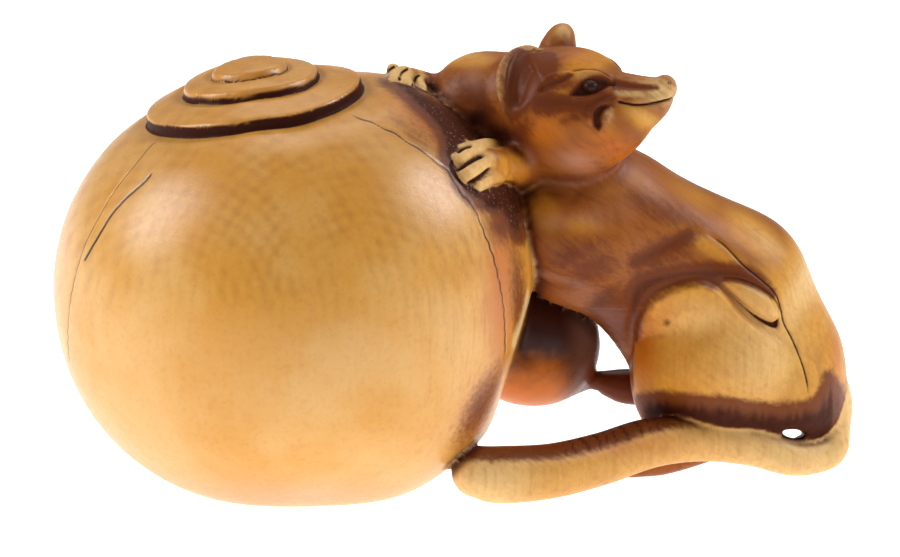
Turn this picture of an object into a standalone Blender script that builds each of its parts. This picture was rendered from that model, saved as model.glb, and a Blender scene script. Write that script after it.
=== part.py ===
# Netsuke: a slim fox leans both forepaws on a big bottle gourd and turns its head back.
# One ivory carving, with two dark beads set in as eyes. Metres, +Z up.
# +X runs from the gourd to the fox's rump, -Y is the side that is looked at,
# and the origin is the middle of the small flat that the gourd stands on.
import bpy
import bmesh
import math
from mathutils import Matrix, Vector
from mathutils.bvhtree import BVHTree

MM = 0.001

# Gourd: a turned bulb whose axis leans to the left, with stepped rings round its top
GOURD_WIDTH = 29.0 * MM
GOURD_HEIGHT = 26.4 * MM
GOURD_CENTRE = Vector((0.47, 0.0, 13.1)) * MM
GOURD_LEAN = math.radians(10)
GOURD_FULLNESS = 0.85 * MM        # how far the bulb is left full, low on the fox's side
GOURD_SIDES = 48
RING_RADII = (6.75 * MM, 4.15 * MM, 2.25 * MM)
RING_STEP = 0.32 * MM             # each ring stands this much above the one outside it
RING_SHIFT = 0.45 * MM            # the rings stand this much to the left of the gourd's own axis
CROWN_DROP = (0.15 * MM, 0.55 * MM)   # how far the crown falls below the bulb's own curve, left and right
RING_GROOVE_DEPTH = 0.34 * MM
RING_GROOVE_WIDTH = 0.75 * MM
FACET_REACH = 13.6 * MM           # flat on the fox's side, measured from the gourd's middle
LOBE_RADIUS = 4.15 * MM
STEM_RADIUS = 1.1 * MM

# Fox: its points are in millimetres at this length, and scale with it from its place on the ground
FOX_LENGTH = 19.5 * MM            # chest to rump
FOX_UNIT = FOX_LENGTH / 19.5
FOX_PLACE = Vector((GOURD_CENTRE.x + GOURD_WIDTH / 2 - 14.97 * MM, 0.0, 0.0))
TOE_RADIUS = 0.46 * MM
GROOVE_RADIUS = 0.3 * MM

# Eyes: beads in round sockets
BEAD_RADIUS = 0.55 * MM
BEAD_CLEARANCE = 0.15 * MM

# Grain of the carved surface
COARSE_GRAIN = 0.36 * MM
FINE_GRAIN = 0.24 * MM
CARVED_FACES = 3300

for old in list(bpy.data.objects):
    bpy.data.objects.remove(old, do_unlink=True)


def surface(name, colour, roughness):
    material = bpy.data.materials.new(name)
    material.use_nodes = True
    shader = material.node_tree.nodes["Principled BSDF"]
    shader.inputs["Base Color"].default_value = (*colour, 1.0)
    shader.inputs["Roughness"].default_value = roughness
    return material


IVORY = surface("stained_ivory", (0.62, 0.33, 0.09), 0.32)
HORN = surface("dark_horn", (0.02, 0.015, 0.012), 0.12)


def fox(x, y, z):
    return FOX_PLACE + Vector((x, y, z)) * FOX_UNIT


def make_object(name, mesh):
    item = bpy.data.objects.new(name, mesh)
    bpy.context.scene.collection.objects.link(item)
    return item


def from_bmesh(name, bm):
    mesh = bpy.data.meshes.new(name)
    bm.to_mesh(mesh)
    bm.free()
    return make_object(name, mesh)


def evaluated(item):
    # The object's mesh with its modifiers done
    bpy.context.view_layer.update()
    graph = bpy.context.evaluated_depsgraph_get()
    return bpy.data.meshes.new_from_object(item.evaluated_get(graph), depsgraph=graph)


def settle(item):
    mesh = evaluated(item)
    item.modifiers.clear()
    item.data = mesh
    return item


def drop(item):
    bpy.data.objects.remove(item, do_unlink=True)


def ellipsoid(centre, radii, turn=(0, 0, 0), sides=28):
    bm = bmesh.new()
    spin = Matrix.Rotation(math.radians(turn[2]), 4, "Z") @ Matrix.Rotation(math.radians(turn[1]), 4, "Y") @ Matrix.Rotation(math.radians(turn[0]), 4, "X")
    place = Matrix.Translation(centre) @ spin @ Matrix.Diagonal((*radii, 1.0))
    bmesh.ops.create_uvsphere(bm, u_segments=sides, v_segments=sides * 2 // 3, radius=1.0, matrix=place)
    return from_bmesh("form", bm)


def limb(points, radii, sides=4, along=6):
    # A smooth tube through the points, round at both ends
    curve = bpy.data.curves.new("limb", "CURVE")
    curve.dimensions = "3D"
    curve.bevel_depth = 1.0
    curve.bevel_resolution = sides
    curve.use_fill_caps = True
    curve.resolution_u = along
    curve.render_resolution_u = 0
    line = curve.splines.new("BEZIER")
    line.radius_interpolation = "CARDINAL"
    line.bezier_points.add(len(points) - 1)
    for knot, point, radius in zip(line.bezier_points, points, radii):
        knot.co = point
        knot.radius = radius
        knot.handle_left_type = knot.handle_right_type = "AUTO"
    tube = make_object("limb", curve)
    mesh = evaluated(tube)
    drop(tube)
    if sides < 3:
        return make_object("limb", mesh)
    ends = [ellipsoid(points[0], (radii[0],) * 3, sides=16), ellipsoid(points[-1], (radii[-1],) * 3, sides=16)]
    return joined("limb", [make_object("limb", mesh)] + ends)


def joined(name, items):
    # Several shells as one mesh
    bm = bmesh.new()
    for item in items:
        bm.from_mesh(item.data)
        drop(item)
    return from_bmesh(name, bm)


def merged(name, items, grain, smoothing):
    # One skin round all the shells, with its creases eased
    item = joined(name, items)
    skin = item.modifiers.new("skin", "REMESH")
    skin.mode = "VOXEL"
    skin.voxel_size = grain
    ease = item.modifiers.new("ease", "SMOOTH")
    ease.factor = 0.5
    ease.iterations = smoothing
    return settle(item)


def boolean(item, tool, operation):
    cut = item.modifiers.new(tool.name, "BOOLEAN")
    cut.operation = operation
    cut.solver = "EXACT"
    cut.object = tool
    settle(item)
    drop(tool)
    return item


# The gourd's own directions: up its leaning axis
LEAN = Matrix.Rotation(-GOURD_LEAN, 3, "Y")
FULL_SIDE = Vector((0.63, -0.2, -0.744)).normalized()


def gourd_reach(direction):
    # Distance from the gourd's middle to its skin
    local = LEAN.inverted() @ direction.normalized()
    across = math.hypot(local.x, local.y) / (GOURD_WIDTH / 2)
    along = abs(local.z) / (GOURD_HEIGHT / 2)
    reach = (across ** 2.08 + along ** 2.08) ** (-1 / 2.08)
    off = math.degrees(FULL_SIDE.angle(direction))
    return reach + GOURD_FULLNESS * math.exp(-(off / 24) ** 2) - crown_drop(direction, reach)


def smooth(value, low, high):
    t = min(max((value - low) / (high - low), 0.0), 1.0)
    return t * t * (3 - 2 * t)


def crown_drop(direction, reach):
    point = direction.normalized() * reach
    from_axis = (point - LEAN @ Vector((0, 0, 1)) * point.dot(LEAN @ Vector((0, 0, 1)))).length
    if point.z < 0:
        return 0.0
    near = 1 - smooth(from_axis, RING_RADII[0] * 1.02, RING_RADII[0] * 1.4)
    left, right = CROWN_DROP
    return near * (left + (right - left) * smooth(point.x, -3 * MM, 1 * MM))


def on_gourd(turn, rise, lift):
    # A point over the gourd's skin, by its turn round the middle and its rise
    t, r = math.radians(turn), math.radians(rise)
    direction = Vector((math.cos(t) * math.cos(r), math.sin(t) * math.cos(r), math.sin(r)))
    return GOURD_CENTRE + direction * (gourd_reach(direction) + lift)


def gourd_profile():
    # From the crown outwards and down: radius from the axis, angle from the crown, lift
    rows = []
    inner = 0.0
    level = RING_STEP * len(RING_RADII)
    for radius in reversed(RING_RADII):
        rim = radius - RING_GROOVE_WIDTH * 0.5
        for share in ((0.0, 0.55, 0.9) if inner == 0.0 else (0.1, 0.5, 0.85)):
            rows.append((inner + (rim - inner) * share, level))
        rows.append((rim, level - RING_STEP * 0.25))
        rows.append((radius - RING_GROOVE_WIDTH * 0.12, level - RING_STEP - RING_GROOVE_DEPTH))
        rows.append((radius + RING_GROOVE_WIDTH * 0.12, level - RING_STEP - RING_GROOVE_DEPTH))
        level -= RING_STEP
        inner = radius + RING_GROOVE_WIDTH * 0.5
        rows.append((inner, level))
    return rows


def gourd_bulb():
    half_width, half_height = GOURD_WIDTH / 2, GOURD_HEIGHT / 2
    rows = []
    for (radius, lift) in gourd_profile():
        height = half_height * max(1 - (radius / half_width) ** 2.08, 0.0) ** (1 / 2.08)
        rows.append((math.atan2(radius, height), lift))
    start = rows[-1][0]
    steps = 17
    for i in range(1, steps + 1):
        rows.append((start + (math.pi - start) * i / steps, 0.0))
    bm = bmesh.new()
    rings = []
    for angle, lift in rows:
        ring = []
        pole = math.sin(angle) < 1e-6
        for k in range(1 if pole else GOURD_SIDES):
            turn = 2 * math.pi * k / GOURD_SIDES
            shift = RING_SHIFT / half_height * max(math.cos(angle), 0.0)
            direction = LEAN @ Vector((math.sin(angle) * math.cos(turn) - shift, math.sin(angle) * math.sin(turn), math.cos(angle)))
            ring.append(bm.verts.new(GOURD_CENTRE + direction * (gourd_reach(direction) + lift)))
        rings.append(ring)
    for upper, lower in zip(rings, rings[1:]):
        for k in range(GOURD_SIDES):
            a, b = upper[k % len(upper)], upper[(k + 1) % len(upper)]
            c, d = lower[(k + 1) % len(lower)], lower[k % len(lower)]
            corners = [v for i, v in enumerate((a, d, c, b)) if v not in (a, d, c, b)[:i]]
            bm.faces.new(corners)
    bmesh.ops.recalc_face_normals(bm, faces=bm.faces)
    facet = Vector((0.955, -0.09, -0.27)).normalized()
    middle = GOURD_CENTRE + facet * FACET_REACH
    cut = bmesh.ops.bisect_plane(bm, geom=bm.verts[:] + bm.edges[:] + bm.faces[:], plane_co=middle, plane_no=facet, clear_outer=True)
    bmesh.ops.holes_fill(bm, edges=[e for e in cut["geom_cut"] if isinstance(e, bmesh.types.BMEdge)])
    return from_bmesh("gourd", bm)


# Body and limbs as broad forms
body = [
    limb([fox(16.6, 3.5, 15.6), fox(19.4, 4.3, 14.9), fox(22.2, 5.2, 13.7), fox(26.5, 6.5, 10.9), fox(28.9, 7.0, 7.2), fox(29.9, 7.1, 4.6)],
         [r * FOX_UNIT for r in (4.4, 4.8, 4.9, 5.1, 4.9, 4.0)]),
    limb([fox(30.2, 7.2, 4.6), fox(31.4, 7.0, 2.6)], [3.2 * FOX_UNIT, 2.0 * FOX_UNIT]),
    limb([fox(20.3, 5.0, 11.4), fox(21.9, 5.6, 7.9)], [2.4 * FOX_UNIT, 1.9 * FOX_UNIT]),
    limb([fox(18.7, 3.6, 16.5), fox(15.4, 3.2, 19.3), fox(12.5, 3.6, 21.9), fox(11.8, 3.6, 23.3), fox(13.3, 2.6, 24.0), fox(15.5, 1.4, 23.9)],
         [r * FOX_UNIT for r in (4.1, 3.6, 3.45, 3.2, 3.1, 3.4)]),
    ellipsoid(fox(25.6, 4.0, 7.4), Vector((4.9, 3.4, 4.9)) * FOX_UNIT, (0, 12, 0)),
    ellipsoid(fox(26.9, 4.8, 5.2), Vector((4.4, 2.7, 3.2)) * FOX_UNIT),
    ellipsoid(fox(22.7, 4.6, 5.7), Vector((2.0, 2.2, 3.2)) * FOX_UNIT),
    ellipsoid(fox(25.6, 11.2, 7.3), Vector((4.9, 2.6, 4.9)) * FOX_UNIT, (0, 12, 0)),
    limb([fox(27.0, 11.6, 7.0), fox(28.0, 11.4, 2.5)], [2.6 * FOX_UNIT, 1.7 * FOX_UNIT]),
    limb([fox(18.1, 0.8, 15.7), fox(15.8, -0.6, 16.1), fox(14.6, -2.2, 18.2), on_gourd(-24, 30, 1.1 * MM), on_gourd(-27, 35, 0.55 * MM)],
         [r * FOX_UNIT for r in (3.0, 2.6, 2.0, 1.5, 1.15)]),
    limb([fox(17.2, 7.0, 17.2), fox(13.9, 7.6, 20.1), fox(10.9, 6.0, 22.4), on_gourd(24, 56, 0.2 * MM)],
         [r * FOX_UNIT for r in (2.4, 1.9, 1.4, 0.9)]),
]
broad = merged("broad", body, COARSE_GRAIN, 14)

# Head, seen from its own middle: forward along the snout, to its right side, and up
HEAD = fox(17.8, 0.4, 23.3)
SNOUT = fox(22.3, -1.2, 25.4)
FORWARD = (SNOUT - HEAD).normalized()
RIGHT = FORWARD.cross(Vector((0, 0, 1))).normalized()
CROWN = RIGHT.cross(FORWARD)


def on_head(forward, right, up):
    return HEAD + (FORWARD * forward + RIGHT * right + CROWN * up) * FOX_UNIT


fine = [
    broad,
    limb([SNOUT, fox(21.5, -0.9, 24.8), fox(20.2, -0.5, 24.2), fox(18.9, 0.0, 23.6), fox(17.6, 0.4, 23.4), fox(16.7, 0.9, 23.2)],
         [r * FOX_UNIT for r in (0.9, 1.45, 2.1, 2.85, 3.6, 3.75)]),
    ellipsoid(fox(17.3, 0.9, 24.7), Vector((2.6, 2.4, 2.7)) * FOX_UNIT),
    ellipsoid(fox(13.9, -1.8, 26.1), Vector((1.25, 0.85, 2.5)) * FOX_UNIT, (0, 10, -30)),
    limb([fox(16.0, 3.4, 26.3), fox(16.3, 3.8, 27.4), fox(16.5, 3.9, 27.9)], [r * FOX_UNIT for r in (1.25, 0.9, 0.5)]),
    limb([fox(20.8, 4.8, 0.8), fox(22.5, 5.0, 1.3), fox(24.7, 5.4, 2.1)], [r * FOX_UNIT for r in (0.95, 1.1, 1.2)]),
    limb([fox(22.2, 10.5, 0.85), fox(25.0, 11.0, 1.2), fox(28.0, 11.0, 1.6)], [r * FOX_UNIT for r in (0.98, 1.25, 1.5)]),
    limb([fox(11.3, -5.4, 3.08), fox(12.7, -5.0, 2.77), fox(15.7, -3.5, 2.58), fox(18.7, -1.4, 2.73), fox(21.7, 0.6, 3.16), fox(24.7, 2.2, 2.9),
          fox(27.7, 3.0, 2.4), fox(30.1, 3.6, 1.4), fox(31.6, 4.9, 1.0), fox(32.6, 5.8, 1.4), fox(32.7, 6.8, 2.6), fox(32.2, 7.4, 4.0)],
         [r * FOX_UNIT for r in (1.6, 1.8, 1.7, 1.6, 1.52, 1.33, 1.3, 1.12, 1.1, 1.15, 1.25, 1.8)]),
    ellipsoid(fox(14.4, 7.0, 8.0), (LOBE_RADIUS,) * 3),
    limb([fox(12.5, 5.5, 9.0), fox(14.4, 7.0, 8.0), fox(16.1, 7.6, 6.4), fox(17.8, 8.0, 5.2), fox(18.7, 8.0, 5.0), fox(19.4, 8.0, 4.8),
          fox(20.6, 8.0, 4.6), fox(22.7, 8.2, 4.5)],
         [LOBE_RADIUS * 0.82, LOBE_RADIUS, LOBE_RADIUS * 0.58, STEM_RADIUS * 0.75, STEM_RADIUS * 0.62, STEM_RADIUS * 0.8, STEM_RADIUS, STEM_RADIUS * 0.9]),
]
# Four toes on each forepaw, spread over the gourd
for root_turn, root_rise, tip_turn, tip_rise, turn_step, rise_step, root_lift, tip_lift in (
        (-18.4, 38.5, -31.6, 40.6, -2.6, -2.3, 0.85, 0.28),
        (32.0, 56.4, 25.0, 63.8, -8.0, -0.4, 0.40, 0.20)):
    for toe in range(4):
        root = on_gourd(root_turn + turn_step * toe, root_rise + rise_step * toe, root_lift * MM)
        tip = on_gourd(tip_turn + turn_step * toe * (0.6 if tip_lift > 0.25 else 1.4), tip_rise + rise_step * toe * (1.1 if tip_lift > 0.25 else 3.5), tip_lift * MM)
        bend = (root + tip) / 2 + (root + tip - 2 * GOURD_CENTRE).normalized() * 0.15 * MM
        fine.append(limb([root, bend, tip], [TOE_RADIUS * 0.95, TOE_RADIUS, TOE_RADIUS * 0.85]))
carving = merged("fox_on_gourd", fine, FINE_GRAIN, 3)
thin = carving.modifiers.new("thin", "DECIMATE")
thin.ratio = CARVED_FACES / (2 * len(carving.data.polygons))
settle(carving)
boolean(carving, gourd_bulb(), "UNION")

# The near ear is hollow
boolean(carving, ellipsoid(fox(14.5, -2.7, 26.1), Vector((1.15, 1.0, 2.1)) * FOX_UNIT, (0, 14, -30), 14), "DIFFERENCE")

# Grooves are drawn on the side that is looked at, across and up as seen from 15 degrees above, and laid on the skin
SIGHT = Vector((0, math.cos(math.radians(15)), -math.sin(math.radians(15))))
SIGHT_UP = Vector((0, math.sin(math.radians(15)), math.cos(math.radians(15))))
skin_bm = bmesh.new()
skin_bm.from_mesh(carving.data)
skin = BVHTree.FromBMesh(skin_bm)
skin_bm.free()


def laid(across, up):
    start = FOX_PLACE + (Vector((1, 0, 0)) * across + SIGHT_UP * up) * FOX_UNIT - SIGHT * 60 * MM
    hit = skin.ray_cast(start, SIGHT)
    return hit[0] - hit[1] * GROOVE_RADIUS * 0.1


for line in (
        ((20.5, 9.0), (20.9, 10.6), (21.7, 11.8), (22.9, 12.6), (24.7, 12.9), (25.8, 12.4), (27.4, 11.0), (29.2, 9.6)),
        ((24.4, 15.9), (25.8, 15.2), (27.3, 14.0), (28.5, 12.9), (29.3, 11.7), (29.8, 10.3), (30.4, 9.0), (31.0, 7.3)),
        ((20.0, 14.8), (21.2, 14.1), (22.4, 13.6)),
        ((22.4, 16.3), (23.6, 15.6), (24.8, 15.0)),
        ((22.7, 23.7), (22.0, 23.5), (21.0, 23.3), (19.9, 23.3), (18.9, 22.8))):
    points = [laid(*place) for place in line]
    boolean(carving, limb(points, [GROOVE_RADIUS * 0.7] + [GROOVE_RADIUS] * (len(points) - 2) + [GROOVE_RADIUS * 0.7], 1, 2), "DIFFERENCE")

# Eye sockets and their beads
EYES = (("right_eye", on_head(1.95, 2.2, 1.95)), ("left_eye", on_head(2.0, -2.45, 1.2)))
for name, place in EYES:
    boolean(carving, ellipsoid(place, (BEAD_RADIUS + BEAD_CLEARANCE,) * 3, sides=16), "DIFFERENCE")

# Everything that stands is cut level with the gourd's flat
bm = bmesh.new()
bmesh.ops.create_cube(bm, size=1.0, matrix=Matrix.Translation((15 * MM, 0, -10 * MM)) @ Matrix.Diagonal((120 * MM, 120 * MM, 20 * MM, 1.0)))
boolean(carving, from_bmesh("ground", bm), "DIFFERENCE")

whole = bpy.data.objects.new("netsuke", None)
bpy.context.scene.collection.objects.link(whole)
carving.data.materials.clear()
carving.data.materials.append(IVORY)
carving.data.shade_smooth()
carving.data.set_sharp_from_angle(angle=math.radians(50))
carving.parent = whole
for name, place in EYES:
    bm = bmesh.new()
    bmesh.ops.create_uvsphere(bm, u_segments=14, v_segments=8, radius=BEAD_RADIUS)
    bead = from_bmesh(name, bm)
    bead.location = place
    bead.parent = whole
    bead.data.materials.append(HORN)
    bead.data.shade_smooth()
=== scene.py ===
import math
from functools import partial
import bpy
import bmesh
import numpy as np
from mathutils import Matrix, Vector


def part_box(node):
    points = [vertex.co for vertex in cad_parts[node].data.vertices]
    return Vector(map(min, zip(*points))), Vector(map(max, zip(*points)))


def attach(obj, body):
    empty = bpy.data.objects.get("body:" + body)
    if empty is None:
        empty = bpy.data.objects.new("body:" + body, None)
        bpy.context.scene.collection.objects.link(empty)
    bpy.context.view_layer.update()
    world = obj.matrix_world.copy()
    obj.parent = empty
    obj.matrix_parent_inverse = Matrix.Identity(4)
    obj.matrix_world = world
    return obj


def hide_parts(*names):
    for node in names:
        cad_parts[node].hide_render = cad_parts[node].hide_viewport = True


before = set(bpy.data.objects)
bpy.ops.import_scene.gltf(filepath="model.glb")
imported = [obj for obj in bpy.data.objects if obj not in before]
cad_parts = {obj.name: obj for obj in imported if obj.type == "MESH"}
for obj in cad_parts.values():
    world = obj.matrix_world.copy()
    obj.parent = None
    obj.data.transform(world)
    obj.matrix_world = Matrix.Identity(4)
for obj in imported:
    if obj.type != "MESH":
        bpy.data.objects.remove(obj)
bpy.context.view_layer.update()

# Values to change, in millimetres and degrees

CARVING = {
    "grain": 0.41,             # spacing of the plain surface
    "gourdWidth": 29.0,
    "gourdHeight": 26.4,
    "gourdCentre": (0.47, 0.0, 13.1),
    "gourdLean": 10.0,
    "ringShift": -0.45,        # the rings stand a little left of the gourd's own axis
    "fullness": 0.85,          # gourd left full, low on the fox's side
    "underTrim": 0.5, "tailTrim": 0.4,    # gourd pared away below and where the tail's tip lies
    "facetReach": 13.6,
    # Rings: radius, step, groove width, groove depth
    "rings": ((6.52, 0.36, 0.52, 0.26), (3.98, 0.34, 0.36, 0.24), (2.12, 0.28, 0.24, 0.17)),
    "plateHeight": 0.38,       # haunch plate above the flank
    "schregerSpacing": 0.8,
}
IVORY = {
    "pale": "#EFCC8E", "honey": "#DB9A34", "deep": "#A8620F", "amber": "#C06208", "russet": "#98541B",
    "brown": "#6E3212", "ink": "#3A150B", "dark": "#3A160C", "crack": "#3A2418", "paintedSheen": "#C08A72", "lobe": "#CF7420",
    "speck": "#B59482",
    "gourdRoughness": 0.3, "foxRoughness": 0.38, "gourdShine": 0.55, "foxShine": 0.18, "stainShine": 0.07,
    # Light that sinks in, its reach in mm for red, green and blue
    "glow": 0.2, "glowReach": (1.0, 0.4, 0.12), "refraction": 1.54,
    "relief": 0.06,            # height of the finest marks, in mm
}
BEADS = {
    "radius": 0.48, "flatness": (0.95, 1.0, 0.72), "colour": "#1B0E0A", "dapple": "#3A1C12",
    "roughness": 0.32, "shine": 0.14,
    "setBack": 0.05,           # both beads stand this much further from the viewer than the frame's
}
LIGHT = {
    "room": 0.27, "left": 0.7, "right": 0.62, "top": 0.25,
    "table": 1.12, "tableColour": "#C0C0C0", "tableDrop": 0.02,
}
CAMERA = {
    "elevation": 15.0, "lens": 500.0, "sensor": 36.0,
    "picture": (900, 557), "mmPerPixel": 0.06, "originPixel": (289.0, 496.3),
}
MM, ORIGIN = CAMERA["mmPerPixel"], CAMERA["originPixel"]
METRES = 0.001                 # in a millimetre

VIEW_TILT = math.radians(CAMERA["elevation"])
SIGHT = np.array([0.0, math.cos(VIEW_TILT), -math.sin(VIEW_TILT)])
SIGHT_UP = np.array([0.0, math.sin(VIEW_TILT), math.cos(VIEW_TILT)])


# Distances, in millimetres, negative inside

def smoothMin(a, b, k):
    # The lesser of the two, rounded off where they are less than k apart
    h = np.maximum(k - np.abs(a - b), 0.0) / k
    return np.minimum(a, b) - h * h * k * 0.25


def smoothMax(a, b, k):
    return -smoothMin(-a, -b, k)


def ramp(x, a, b):
    # 0 at a, 1 at b and a soft rise between
    t = np.clip((x - a) / (b - a), 0.0, 1.0)
    return t * t * (3.0 - 2.0 * t)


def turned(rx, ry, rz):
    rx, ry, rz = np.radians([rx, ry, rz])
    cx, sx, cy, sy, cz, sz = np.cos(rx), np.sin(rx), np.cos(ry), np.sin(ry), np.cos(rz), np.sin(rz)
    aboutX = np.array([[1, 0, 0], [0, cx, -sx], [0, sx, cx]])
    aboutY = np.array([[cy, 0, sy], [0, 1, 0], [-sy, 0, cy]])
    aboutZ = np.array([[cz, -sz, 0], [sz, cz, 0], [0, 0, 1]])
    return aboutZ @ aboutY @ aboutX


def ellipsoid(p, centre, radii, turn=None):
    # How far out a point is as a share of the radii, over how fast that share grows
    q = p - np.asarray(centre, float)
    if turn is not None:
        q = q @ turn
    radii = np.asarray(radii, float)
    k0 = np.linalg.norm(q / radii, axis=1)
    k1 = np.linalg.norm(q / radii ** 2, axis=1)
    return k0 * (k0 - 1.0) / np.maximum(k1, 1e-6)


def fromSegment(p, a, b):
    # Distance to a straight piece, and how far along it, from 0 to 1
    ab = b - a
    t = np.clip(((p - a) @ ab) / max(ab @ ab, 1e-9), 0.0, 1.0)
    return np.linalg.norm(p - a - t[:, None] * ab, axis=1), t


def curveShares(t):
    # How much each of four neighbouring points counts, a share t of the way from the second to the third
    return 0.5 * np.array([-t ** 3 + 2 * t ** 2 - t, 3 * t ** 3 - 5 * t ** 2 + 2,
        -3 * t ** 3 + 4 * t ** 2 + t, t ** 3 - t ** 2])


def tube(p, points, radii, steps=6):
    # Round cones strung along a smooth curve through the points
    points, radii = np.asarray(points, float), np.asarray(radii, float)
    ends = np.vstack([2 * points[0] - points[1], points, 2 * points[-1] - points[-2]])
    sizes = np.concatenate([[radii[0]], radii, [radii[-1]]])
    centres, widths = [], []
    for i in range(1, len(points)):
        for t in np.arange(steps) / steps:
            mix = curveShares(t)
            centres.append(mix @ ends[i - 1:i + 3])
            widths.append(mix @ sizes[i - 1:i + 3])
    centres.append(points[-1])
    widths.append(radii[-1])
    d = np.full(len(p), 1e9)
    for a, b, ra, rb in zip(centres[:-1], centres[1:], widths[:-1], widths[1:]):
        away, t = fromSegment(p, a, b)
        d = np.minimum(d, away - (ra + t * (rb - ra)))
    return d


def within(p, low, high, form, margin=2.6):
    # The form's distance near its box, and the box's own further off
    q = np.maximum(np.maximum(np.asarray(low) - p, p - np.asarray(high)), 0.0)
    d = np.sqrt((q * q).sum(1))
    near = d < margin
    d[~near] = np.maximum(d[~near], margin)
    if near.any():
        d[near] = form(p[near])
    return d


# Gourd

gourdCentre = np.array(CARVING["gourdCentre"])
lean = math.radians(CARVING["gourdLean"])
gourdAxis = np.array([-math.sin(lean), 0.0, math.cos(lean)])
fullSide, facetSide = np.array([0.63, -0.2, -0.744]), np.array([0.955, -0.09, -0.27])
fullSide, facetSide = fullSide / np.linalg.norm(fullSide), facetSide / np.linalg.norm(facetSide)
underSide, tailSide = [0.0, -0.53, -0.85], [0.67, -0.24, -0.70]


def degreesFrom(q, way):
    return np.degrees(np.arccos(np.clip((q @ way) / np.maximum(np.linalg.norm(q, axis=1), 1e-6), -1, 1)))


def ringRadius(p):
    q = p - gourdCentre - np.array([CARVING["ringShift"], 0, 0])
    along = q @ gourdAxis
    return np.linalg.norm(q - along[:, None] * gourdAxis, axis=1), along


def bulb(p):
    q = p - gourdCentre
    along = q @ gourdAxis
    across = np.linalg.norm(q - along[:, None] * gourdAxis, axis=1)
    halfWidth, halfHeight, power = CARVING["gourdWidth"] / 2, CARVING["gourdHeight"] / 2, 2.08
    u, w = across / halfWidth, np.abs(along) / halfHeight
    f = (u ** power + w ** power + 1e-9) ** (1 / power)
    slope = np.sqrt((f ** (1 - power) * u ** (power - 1) / halfWidth) ** 2
        + (f ** (1 - power) * w ** (power - 1) / halfHeight) ** 2 + 1e-9)
    d = (f - 1) / slope
    for way, out, spread in ((fullSide, -CARVING["fullness"], 24.0), (underSide, CARVING["underTrim"], 18.0),
            (tailSide, CARVING["tailTrim"], 12.0)):
        d = d + out * np.exp(-(degreesFrom(q, way) / spread) ** 2)
    d = d + (1 - ramp(ringRadius(p)[0], 6.9, 9.5)) * ramp(along, 6,
        9) * (0.15 + 0.4 * ramp(p[:, 0], -2.5, 1.5))
    return smoothMax(d, q @ facetSide - CARVING["facetReach"], 0.6)


def onForm(form, px, py, lift=0.0):
    # The point of a form behind a pixel of the front view, or on its skyline where it misses
    base = np.array([(px - ORIGIN[0]) * MM, 0, 0]) + SIGHT_UP * (ORIGIN[1] - py) * MM
    reach = np.linspace(-18.0, 14.0, 1601)
    d = form(base + reach[:, None] * SIGHT)
    i = np.argmax(d < 0) if (d < 0).any() else np.argmin(d)
    p = base + reach[i] * SIGHT
    e = 0.05 * np.eye(3)
    around = form(np.vstack([p + e, p - e]))
    out = around[:3] - around[3:]
    return p + out / np.linalg.norm(out) * (lift - form(p[None])[0])


def lobeAndStem(p):
    return within(p, (8, 0, 1), (24.6, 12, 14), lambda q: tube(
        q, [(12.5, 5.5, 9.0), (14.4, 7.0, 8.0), (16.1, 7.6, 6.4), (17.8, 8.0, 5.2), (18.7, 8.0, 5.0),
        (19.4, 8.0, 4.8), (20.6, 8.0, 4.6), (22.7, 8.2, 4.5)],
        [3.4, 4.15, 2.4, 0.8, 0.56, 0.85, 1.1, 1.0]))


# Fox

headCentre, snoutTip = np.array([17.8, 0.4, 23.3]), np.array([22.3, -1.2, 25.4])
headForward = (snoutTip - headCentre) / np.linalg.norm(snoutTip - headCentre)
headRight = np.cross(headForward, [0, 0, 1])
headRight /= np.linalg.norm(headRight)
bodyMiddle = 6.8               # the body's own middle plane, for what is mirrored to its far side


def torso(p):
    d = ellipsoid(p, (17.9, 3.8, 15.2), (4.6, 4.4, 4.5))
    d = smoothMin(d, ellipsoid(p, (21.85, 5.2, 13.8), (5.0, 5.0, 4.65)), 2.0)
    d = smoothMin(d, ellipsoid(p, (26.45, 6.6, 10.85), (5.0, 5.4, 5.25)), 2.6)
    d = smoothMin(d, ellipsoid(p, (29.1, 7.0, 6.0), (4.45, 5.2, 5.2)), 2.0)
    d = smoothMin(d, tube(p, [(30.5, 7.2, 4.4), (31.6, 7.0, 2.6)], [2.8, 1.7]), 1.2)
    return smoothMin(d, tube(p, [(20.3, 5.0, 11.4), (21.9, 5.6, 7.9)], [2.4, 1.9]), 1.2)


def hindLegs(p):
    near = ellipsoid(p, (25.6, 4.0, 7.4), (4.9, 3.4, 4.9), turned(0, 12, 0))
    near = smoothMin(near, ellipsoid(p, (26.9, 4.8, 5.2), (4.4, 2.7, 3.2)), 1.0)
    near = smoothMin(near, ellipsoid(p, (22.7, 4.6, 5.7), (2.0, 2.2, 3.2)), 1.2)
    foot = tube(p, [(20.6, 4.5, 0.75), (22.5, 4.7, 1.15), (24.7, 5.2, 1.9)], [0.9, 1.1, 1.3])
    near = smoothMin(near, foot, 0.5)
    far = ellipsoid(p, (25.6, 11.2, 7.3), (4.9, 2.6, 4.9), turned(0, 12, 0))
    far = smoothMin(far, tube(p, [(27.0, 11.6, 7.0), (28.0, 11.4, 2.5)], [2.6, 1.7]), 1.0)
    foot = tube(p, [(22.2, 10.5, 0.85), (25.0, 11.0, 1.2), (28.0, 11.0, 1.6)], [0.9, 1.2, 1.5])
    far = smoothMin(far, foot, 0.6)
    return smoothMin(near, far, 0.6)


def neck(p):
    return within(p, (7.6, -3, 14), (23.6, 9, 27), lambda q: tube(
        q, [(18.7, 3.6, 16.5), (15.4, 3.2, 19.3), (12.5, 3.6, 21.9), (11.55, 3.6, 23.25), (13.3, 2.6, 23.9),
        (15.5, 1.4, 23.9)],
        [4.1, 3.6, 3.4, 3.2, 2.85, 3.3]))


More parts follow.
